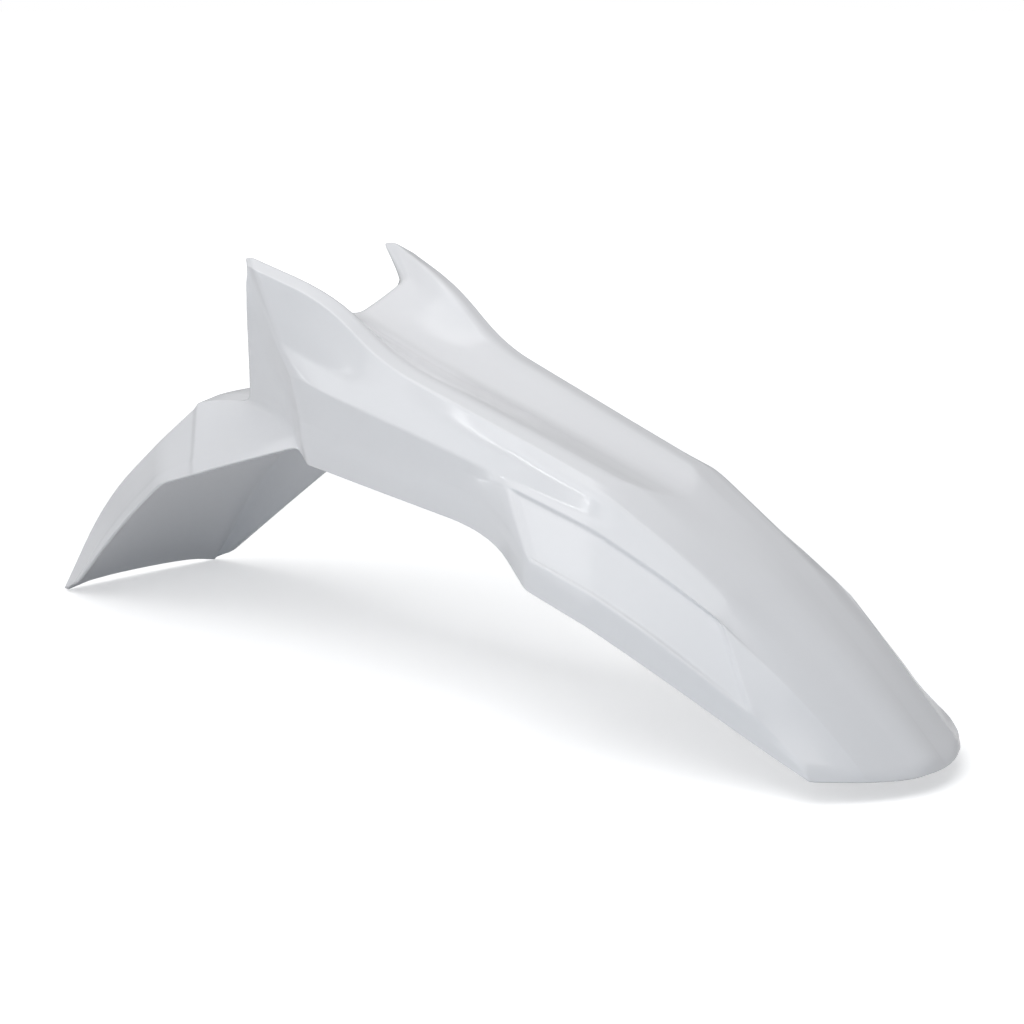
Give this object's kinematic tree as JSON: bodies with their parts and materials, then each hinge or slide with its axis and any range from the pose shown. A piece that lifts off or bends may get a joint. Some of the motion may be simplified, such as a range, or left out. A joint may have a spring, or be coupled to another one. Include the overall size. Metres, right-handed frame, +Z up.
{
  "type": "motorcycle front mudguard",
  "caption": "One-piece moulded high front mudguard with a pointed blade, narrow fork region, raised rear horns and a channelled rear flap, on moulded clamp bosses.",
  "frame": {"origin": "centre of the four clamp bosses, in the plane of their lower faces, where the fork clamp bears", "axes": "+X along the deck towards the nose, +Y to the rider's left, +Z up, square to the clamp faces"},
  "size_m": [0.7626, 0.1958, 0.3288],
  "materials": {
    "body_plastic": "gloss"
  },
  "bodies": {
    "root": {"front_mudguard": "body_plastic"}
  },
  "joints": []
}
